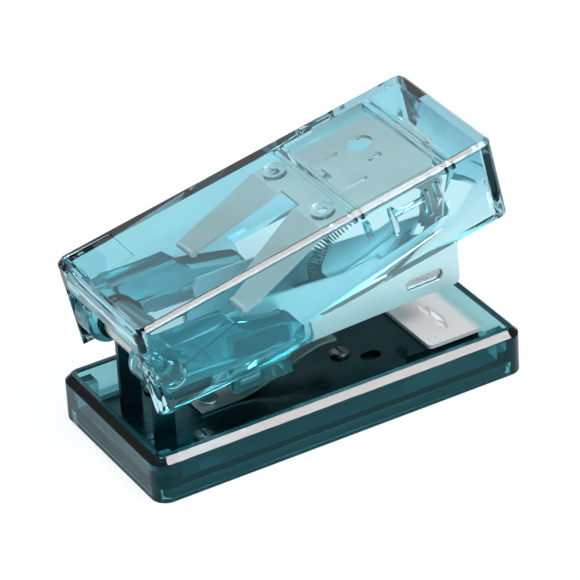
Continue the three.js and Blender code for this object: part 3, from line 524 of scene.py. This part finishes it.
springSteel = metal("springSteel", {
    "colour": (0.46, 0.47, 0.46), "worn": (0.58, 0.58, 0.56), "grain": (1.0, 10.0, 1.0), "grainScale": 180.0,
    "roughness": (0.25, 0.42), "bump": 0.12,
})
stapleWire = metal("stapleWire", {
    "colour": (0.72, 0.73, 0.74), "worn": (0.84, 0.84, 0.84), "grain": (1.0, 6.0, 6.0), "grainScale": 400.0,
    "roughness": (0.18, 0.32), "bump": 0.08,
})
springWire = metal("springWire", {
    "colour": (0.13, 0.15, 0.15), "worn": (0.20, 0.22, 0.22), "grain": (1.0, 1.0, 1.0), "grainScale": 300.0,
    "roughness": (0.08, 0.14), "bump": 0.05,
})
darkRubber = plainPolymer("darkRubber", {
    "colour": (0.006, 0.012, 0.014), "pale": (0.014, 0.022, 0.025), "grainScale": 900.0,
    "roughness": (0.6, 0.8), "bump": 0.3,
})
pusherNylon = plainPolymer("pusherNylon", {
    "colour": (0.03, 0.045, 0.05), "pale": (0.045, 0.06, 0.065), "grainScale": 1200.0,
    "roughness": (0.4, 0.55), "bump": 0.2,
})
print("materials")

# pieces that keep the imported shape: node, body, slot, material, edge radius in mm
refined = [
    ("nonslip_mat", "base", "rubber", darkRubber, 0.3),
    ("base_plate", "base", "plate_steel", plateSteelPaintedShade, 0.12),
    ("plate_screw_left", "base", "bright_steel", screwSteel, 0.08),
    ("plate_screw_right", "base", "bright_steel", screwSteel, 0.08),
    ("plate_screw_front", "base", "bright_steel", screwSteel, 0.08),
    ("anvil_rivet_left", "base", "chrome", chromePlate, 0.12),
    ("anvil_rivet_right", "base", "chrome", chromePlate, 0.12),
    ("lift_spring_rivet", "base", "bright_steel", brightSteel, 0.1),
    ("pivot_pin", "base", "bright_steel", brightSteel, 0.2),
    ("pivot_spacer", "base", "spring_steel", springSteel, 0.1),
    ("magazine_channel", "magazine", "magazine_steel", magazineSteel, 0.1),
    ("staple_rail", "magazine", "magazine_steel", magazineSteel, 0.08),
    ("channel_rivet_rear", "magazine", "bright_steel", brightSteel, 0.1),
    ("channel_rivet_front", "magazine", "bright_steel", brightSteel, 0.1),
    ("pusher", "pusher", "pusher_plastic", pusherNylon, 0.12),
    ("driver_spring", "cover", "driver_steel", driverSteel, 0.1),
]


def refineNode(node, body, slot, material, width):
    piece = newObject(node + "Fine", frame["nodes"][node].data.copy())
    finishEdges(piece, width, stampedAngle, mm)
    placePiece(piece, node + "Fine", Matrix.Identity(4), body, slot, material, node)


for node, body, slot, material, width in refined:
    refineNode(node, body, slot, material, width)
print("refined %d nodes" % len(refined))


def chamferedBlock(x0, x1, halfWidth, corner, chamfer, z0, z1, roll=0.35, leastCorner=0.4, steps=4):
    # a rounded block whose upper edge is a flat 45 degree chamfer with a small roll at each side of it
    reach = roll * math.tan(math.radians(22.5))
    side = reach / math.sqrt(2)
    rings = [(0.0, z0)]
    turns = [((0.0, -chamfer - reach), (0.0, -chamfer), (side, -chamfer + side)),
             ((chamfer - side, -side), (chamfer, 0.0), (chamfer + reach, 0.0))]
    for turn in turns:
        for i in range(steps + 1):
            t = i / steps
            inset, drop = [(1 - t) ** 2 * a + 2 * t * (1 - t) * b + t * t * c for a, b, c in zip(*turn)]
            rings.append((inset, z1 + drop))
    shapes = []
    for inset, z in rings:
        radius = max(corner - inset, leastCorner)
        outline = roundedPlan(x0 + inset, x1 - inset, halfWidth - inset, radius, steps=12)
        shapes.append([(x, y, z) for x, y in outline])
    return loft(shapes)


tray = {
    "length": 75.0, "width": 36.0, "bottom": 0.3, "rim": 9.2, "wall": 2.2, "corner": 3.0, "chamfer": 1.25,
    "deck": 3.7, "deckUnder": 2.3, "post": 3.0, "postDrop": 1.4, "weld": 0.5, "edge": 0.18,
    "screwHole": 0.95, "screws": [(-23.5, 9.0), (-23.5, -9.0), (9.5, 0.0)],
}


def makeTray(size):
    front, rear, half = size["length"] / 2, -size["length"] / 2, size["width"] / 2
    wall, post, weld = size["wall"], size["post"], size["weld"]
    shell = chamferedBlock(rear, front, half, size["corner"], size["chamfer"], size["bottom"], size["rim"])
    inner = half - wall
    well = roundedPlan(rear + wall, front - wall, inner, size["corner"] - wall, steps=8)
    cut(shell, planPrism(well, size["deck"], size["rim"] + cutPast),
        planPrism(well, size["bottom"] - cutPast, size["deckUnder"]))
    for x0, x1 in ((rear + wall - weld, rear + wall + post), (front - wall - post, front - wall + weld)):
        for y0, y1 in ((inner - post, inner + weld), (-inner - weld, -inner + post)):
            join(shell, block(x0, x1, y0, y1, size["deck"] - weld, size["rim"] - size["postDrop"]))
    for x, y in size["screws"]:
        z0, z1 = size["deckUnder"] - cutPast, size["deck"] + cutPast
        cut(shell, uprightRod(size["screwHole"], z0, z1, x, y, sides=24))
    finishEdges(shell, size["edge"])
    placePiece(shell, "baseShellFine", baseSpace, "base", "teal_clear_plastic", tealClear, "base_shell")


makeTray(tray)
print("base tray")

cover = {
    "rear": -4.4, "length": 72.9, "width": 30.4, "top": 11.7, "wall": 2.0, "corner": 2.0, "chamfer": 0.9,
    "sideDepth": 16.3, "cheekRearDepth": 18.2, "cheekFrontDepth": 19.9, "cheekLength": 31.0, "cheekFillet": 1.5,
    "hollowCorner": 0.6, "rearWallDepth": 5.5, "rearCut": 0.8, "beyond": 2.0, "weld": 0.4, "edge": 0.16,
    "ribs": [45.3, 64.2], "ribThickness": 0.7, "ribGap": 0.8, "ribDepth": 0.8,
    "stake": 41.5, "stakeSide": 8.2, "stakeRadius": 2.2, "stakeHead": 1.7, "stakeHeadHeight": 0.6,
    "stakePin": 0.9, "stakePinUp": 0.3, "stakePinDown": 0.1,
    "plateTop": 8.7, "plateUnder": 8.1, "seat": 0.1,
    "fingers": [(46.5, 7.0), (51.6, 9.6), (58.6, 9.7), (61.0, 7.0)],  # place, depth
    "fingerWidth": 1.0, "fingerProud": 1.1, "fingerDrop": 0.5,
    "ledge": (51.6, 58.6, 5.2, 0.8, 0.9),  # rear, front, depth, thickness, reach
    "thumbFlat": (1.4, 10.8, 4.5, 13.6, 0.2),  # rear, front, near, far, depth
    "stubHole": 2.5,
}


def coverSide(size, steps=8):
    # the cover's outline from the side, with a deeper cheek at the rear
    beyond, fillet, cheek = size["beyond"], size["cheekFillet"], size["cheekLength"]
    points = [(-beyond, -beyond), (-beyond, size["cheekRearDepth"])]
    for i in range(steps + 1):
        angle = math.radians(90 * i / steps)
        points.append((cheek - fillet + fillet * math.sin(angle),
                       size["cheekFrontDepth"] - fillet + fillet * math.cos(angle)))
    points += [(cheek, size["sideDepth"]), (size["length"] + beyond, size["sideDepth"]),
               (size["length"] + beyond, -beyond)]
    return [(size["rear"] + x, size["top"] - z) for x, z in points]


def addStake(shell, size, side):
    # a boss over the driver's plate, its pin through the plate, and the head formed under it
    x, y = size["rear"] + size["stake"], side * size["stakeSide"]
    ceiling, headTop = size["top"] - size["wall"], size["plateUnder"] - size["seat"]
    pinLow, pinHigh = headTop - size["stakePinDown"], size["plateTop"] + size["stakePinUp"]
    join(shell, uprightRod(size["stakeRadius"], size["plateTop"] + size["seat"], ceiling + size["weld"], x, y),
         uprightRod(size["stakePin"], pinLow, pinHigh, x, y, sides=32),
         uprightRod(size["stakeHead"], headTop - size["stakeHeadHeight"], headTop, x, y, sides=40))


def addFingers(shell, size, side):
    # fins down the inside of a side wall, and a short ledge between the two long ones
    rear, top, inner = size["rear"], size["top"], size["width"] / 2 - size["wall"]
    y0, y1 = onSide(side, inner - size["fingerProud"], inner + size["weld"])
    for place, depth in size["fingers"]:
        x0 = rear + place - size["fingerWidth"] / 2
        upper = size["plateUnder"] - size["fingerDrop"]
        join(shell, block(x0, x0 + size["fingerWidth"], y0, y1, top - depth, upper))
    x0, x1, depth, thick, reach = size["ledge"]
    y0, y1 = onSide(side, inner - reach, inner + size["weld"])
    join(shell, block(rear + x0, rear + x1, y0, y1, top - depth - thick, top - depth))


def makeCover(size):
    rear, top, wall, weld = size["rear"], size["top"], size["wall"], size["weld"]
    front, half = rear + size["length"], size["width"] / 2
    inner, ceiling = half - wall, top - wall
    bottom = top - size["cheekFrontDepth"] - size["beyond"]
    shell = chamferedBlock(rear, front, half, size["corner"], size["chamfer"], bottom, top)
    keepInside(shell, sidePrism(coverSide(size), -half - cutPast, half + cutPast))
    hollow = roundedPlan(rear + wall, front - wall, inner, size["hollowCorner"], steps=6)
    cut(shell, planPrism(hollow, bottom - cutPast, ceiling))
    cut(shell, block(rear - cutPast, rear + wall + size["rearCut"], -inner, inner,
                     bottom - cutPast, top - size["rearWallDepth"]))
    for place in size["ribs"]:
        for side in (-1, 1):
            x = rear + place + side * (size["ribThickness"] + size["ribGap"]) / 2
            thick = size["ribThickness"] / 2
            join(shell, block(x - thick, x + thick, -inner - weld, inner + weld,
                              ceiling - size["ribDepth"], ceiling + weld))
    for side in (-1, 1):
        addStake(shell, size, side)
        addFingers(shell, size, side)
    cut(shell, crossRod(size["stubHole"], -half - cutPast, half + cutPast))
    x0, x1, y0, y1, depth = size["thumbFlat"]
    cut(shell, block(rear + x0, rear + x1, y0, y1, top - depth, top + cutPast))
    finishEdges(shell, size["edge"])
    placePiece(shell, "coverShellFine", coverSpace, "cover", "blue_clear_plastic", skyBlueClear, "cover_shell")


makeCover(cover)
print("cover")

fork = {
    "armInner": 7.3, "armOuter": 12.4, "head": 4.6, "heelRise": 0.6, "front": 26.6, "noseChamfer": 1.0,
    "crestTop": 4.5, "crestFront": 13.0, "stepTop": 1.9, "stepFront": 15.0, "frontTop": -0.7, "drop": 5.0,
    "webLength": 12.6, "webSetBack": 1.0, "webHalf": 9.0, "webTop": -11.9, "webThickness": 1.3,
    "cheekInner": 5.3, "cheekTop": -1.5, "stub": 2.45, "stubEnd": 15.0, "weld": 0.5, "edge": 0.2,
    "pinHole": 1.55, "pinDepth": 2.4, "rivets": [17.0, 23.0], "rivetHole": 1.05,
}


def makeFork(size):
    # two arms from the pivot, tied by a web that carries the channel
    front, nose, half = size["front"], size["noseChamfer"], size["webHalf"]
    web0, web1 = front - size["webLength"], front - size["webSetBack"]
    webUnder = size["webTop"] - size["webThickness"]
    arm = [(0, size["crestTop"]), (size["crestFront"], size["crestTop"]), (size["stepFront"], size["stepTop"]),
           (front - nose, size["frontTop"]), (front, size["frontTop"] - nose),
           (front, -size["drop"] + nose), (front - nose, -size["drop"]), (0, -size["head"] + size["heelRise"])]
    body = block(web0, web1, -half, half, webUnder, size["webTop"])
    for side in (1, -1):
        arm0, arm1 = onSide(side, size["armInner"], size["armOuter"])
        beam = sidePrism(arm, arm0, arm1)
        join(beam, crossRod(size["head"], arm0, arm1))
        join(beam, crossRod(size["stub"], *onSide(side, size["armOuter"] - size["weld"], size["stubEnd"])))
        cheek0, cheek1 = onSide(side, size["cheekInner"], half)
        join(beam, block(web0, web1, cheek0, cheek1, webUnder, size["cheekTop"]))
        pin = onSide(side, size["armInner"] - cutPast, size["armInner"] + size["pinDepth"])
        cut(beam, crossRod(size["pinHole"], *pin, sides=40))
        join(body, beam)
    for x in size["rivets"]:
        cut(body, uprightRod(size["rivetHole"], webUnder - cutPast, size["webTop"] + cutPast, x, 0, sides=24))
    finishEdges(body, size["edge"])
    placePiece(body, "holderFine", magazineSpace, "magazine", "holder_clear_plastic", holderClear,
               "magazine_holder")


makeFork(fork)
print("magazine holder")

leaf = {
    "rear": -20.5, "foot": 6.0, "front": 7.5, "halfWidth": 3.0, "sheet": 0.5, "footZ": 4.7, "rise": 5.55,
    "curl": 0.08, "curlLength": 0.15, "steps": 32, "edge": 0.12, "edgeAngle": 50,
    "hole": (-17.5, 1.05),  # place, radius
    "pressed": 0.12,
}


def makeLeaf(size):
    # a flat foot, then one S-shaped rise whose tip curls down a little
    rear, z0, sheet = size["rear"], size["footZ"], size["sheet"]
    footFront = rear + size["foot"]
    lower, upper = [], []
    for i in range(size["steps"] + 1):
        t = i / size["steps"]
        x = footFront + (size["front"] - footFront) * t
        droop = 1 - size["curl"] * max(0.0, t - (1 - size["curlLength"])) / size["curlLength"]
        z = z0 + size["rise"] * math.sin(t * math.pi / 2) ** 2 * droop
        lower.append((x, z))
        upper.insert(0, (x, z + sheet))
    strip = sidePrism([(rear, z0)] + lower + upper + [(rear, z0 + sheet)], -size["halfWidth"], size["halfWidth"])
    x, radius = size["hole"]
    cut(strip, uprightRod(radius, z0 - cutPast, z0 + sheet + cutPast, x, 0, sides=32))
    finishEdges(strip, size["edge"], size["edgeAngle"])
    placePiece(strip, "liftSpringFine", baseSpace, "base", "spring_steel", springSteel, "lift_spring")
    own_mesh(strip)


makeLeaf(leaf)

staples = {
    "front": 60.6, "pitch": 0.5, "count": 40, "halfWidth": 4.42, "crown": -5.95, "leg": 5.0, "wire": 0.45,
    "wireDepth": 0.49, "shoulder": 0.5, "shoulderSteps": 6, "soft": 0.03, "shadeAngle": 35,
}


def staplePath(size):
    # one wire's middle line: up a leg, over a rounded shoulder, and the same again mirrored
    half, shoulder, steps = size["halfWidth"] - size["wire"] / 2, size["shoulder"], size["shoulderSteps"]
    top = size["crown"] - size["wire"] / 2
    path = [(-half, size["crown"] - size["leg"]), (-half, top - shoulder)]
    for i in range(1, steps):
        angle = math.radians(90 * i / steps)
        path.append((-half + shoulder - shoulder * math.cos(angle), top - shoulder + shoulder * math.sin(angle)))
    path.append((-half + shoulder, top))
    return path + [(-y, z) for y, z in reversed(path)]


def makeStaples(size):
    # glued wires, each a flattened hoop
    thick, depth, corner = size["wire"] / 2, size["pitch"] * size["wireDepth"], size["soft"]
    profile = [(-depth, -thick + corner), (-depth, thick - corner),
               (-depth + corner, thick), (depth - corner, thick),
               (depth, thick - corner), (depth, -thick + corner),
               (depth - corner, -thick), (-depth + corner, -thick)]
    path, sides = staplePath(size), len(profile)
    points, faces = [], []
    for number in range(size["count"]):
        x = size["front"] - size["pitch"] * (number + 0.5)
        first = len(points)
        for i, (y, z) in enumerate(path):
            before, after = path[max(i - 1, 0)], path[min(i + 1, len(path) - 1)]
            along = Vector((after[0] - before[0], after[1] - before[1])).normalized()
            for dx, dn in profile:
                points.append((x + dx, y - along.y * dn, z + along.x * dn))
        for i in range(len(path) - 1):
            for k in range(sides):
                a, b = first + i * sides + k, first + i * sides + (k + 1) % sides
                faces.append([a, b, b + sides, a + sides])
        last = first + (len(path) - 1) * sides
        faces.append([first + k for k in reversed(range(sides))])
        faces.append([last + k for k in range(sides)])
    mesh = bpy.data.meshes.new("staples")
    mesh.from_pydata(points, [], faces)
    faceOutward(mesh)
    strip = newObject("staples", mesh)
    shadeByAngle(strip, size["shadeAngle"])
    placePiece(strip, "staplesFine", magazineSpace, "magazine", "staple_wire", stapleWire, "staple_strip")


makeStaples(staples)
print("leaf spring and staples")

anvil = {
    "rear": 23.42, "front": 34.92, "halfWidth": 8.3, "corner": 0.8, "under": 4.7, "top": 5.5, "soft": 0.12,
    "leafX": 29.4, "leafHalf": (1.3, 5.25), "leafDepth": 0.42,
    "pocketSide": 2.65, "pocketHalf": (0.8, 2.4), "pocketDepth": 0.68,
    "rivets": (25.22, 6.3),  # place, to each side
    "rivetHole": 0.75, "shadeAngle": 18,
}
hollowing = {"levels": 8, "around": 48, "lowest": 86}  # rings, points on each, and the lowest ring's angle


def leafCutter(x, y, halfX, halfY, top, depth):
    # a hollow with two pointed ends, deepest in its middle
    levels, around, lowest = hollowing["levels"], hollowing["around"], hollowing["lowest"]
    rings = []
    for level in range(levels + 1):
        angle = math.radians(-lowest + lowest * level / levels)
        share, drop = math.cos(angle), depth * math.sin(angle)
        ring = []
        for i in range(around):
            turn = 2 * math.pi * i / around
            across = math.cos(turn) * abs(math.cos(turn))
            ring.append((x + halfX * share * across, y + halfY * share * math.sin(turn), top + drop))
        rings.append(ring)
    rings.append([(px, py, top + cutPast) for px, py, _ in rings[-1]])
    return loft(rings)


def makeAnvil(size):
    # a plated slab with a leaf shaped hollow, and a deeper pocket in it for each of the staple's legs
    under, top = size["under"], size["top"]
    plate = planPrism(roundedPlan(size["rear"], size["front"], size["halfWidth"], size["corner"]), under, top)
    x, y = size["rivets"]
    for side in (1, -1):
        cut(plate, uprightRod(size["rivetHole"], under - cutPast, top + cutPast, x, side * y))
    softenEdges(plate, size["soft"])
    x, y = size["leafX"], size["pocketSide"]
    cut(plate, leafCutter(x, 0, *size["leafHalf"], top, size["leafDepth"]))
    for side in (1, -1):
        cut(plate, leafCutter(x, side * y, *size["pocketHalf"], top, size["pocketDepth"]))
    shadeByAngle(plate, size["shadeAngle"])
    placePiece(plate, "anvilFine", baseSpace, "base", "chrome", chromePlate, "anvil")


makeAnvil(anvil)
print("anvil")

coil = {
    "spine": [(36.6, 0.0, -3.25), (36.3, 0.0, 0.35), (39.0, 0.0, 4.35), (43.8, 0.0, 6.95), (51.75, -1.0, 12.16)],
    "radius": 1.2, "wire": 0.13, "turns": 32, "stepsPerTurn": 24, "sides": 8,
    "tail": 0.04, "tailRadius": 0.35,  # shares of the coil's length and radius at its hooked end
}


def onSpine(points, t):
    # a smooth curve through the points, from the post at t 0 to the hook at t 1
    justShort = 0.000001
    place = min(t * (len(points) - 1), len(points) - 1 - justShort)
    i, u = int(place), place - int(place)
    ends = [2 * points[0] - points[1]] + points + [2 * points[-1] - points[-2]]
    a, b, c, d = ends[i:i + 4]
    return 0.5 * (2 * b + (c - a) * u + (2 * a - 5 * b + 4 * c - d) * u * u + (3 * b - a - 3 * c + d) * u ** 3)


def makeCoil(size):
    spine = [Vector(p) for p in size["spine"]]
    total = size["turns"] * size["stepsPerTurn"]
    centres = [onSpine(spine, i / total) for i in range(total + 1)]
    across, least = Vector((0, 1, 0)), size["tailRadius"]
    path, outward = [], []
    for i, centre in enumerate(centres):
        along = (centres[min(i + 1, total)] - centres[max(i - 1, 0)]).normalized()
        upward = along.cross(across).normalized()
        angle = 2 * math.pi * i / size["stepsPerTurn"]
        out = across * math.cos(angle) + upward * math.sin(angle)
        nearEnd = min(1.0, (total - i) / (size["tail"] * total))
        path.append(centre + out * size["radius"] * (least + (1 - least) * nearEnd))
        outward.append(out)
    rings = []
    for i, point in enumerate(path):
        along = (path[min(i + 1, total)] - path[max(i - 1, 0)]).normalized()
        first = (outward[i] - along * outward[i].dot(along)).normalized()
        second = along.cross(first)
        ring = []
        for k in range(size["sides"]):
            angle = 2 * math.pi * k / size["sides"]
            ring.append(point + (first * math.cos(angle) + second * math.sin(angle)) * size["wire"])
        rings.append(ring)
    wire = loft(rings, "pusherSpringFine")
    for face in wire.data.polygons:
        face.use_smooth = True
    wire.data.transform(magazineSpace)
    wire.data.materials.append(springWire)
    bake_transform(wire)
    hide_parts("pusher_spring")


makeCoil(coil)
print("pusher spring")
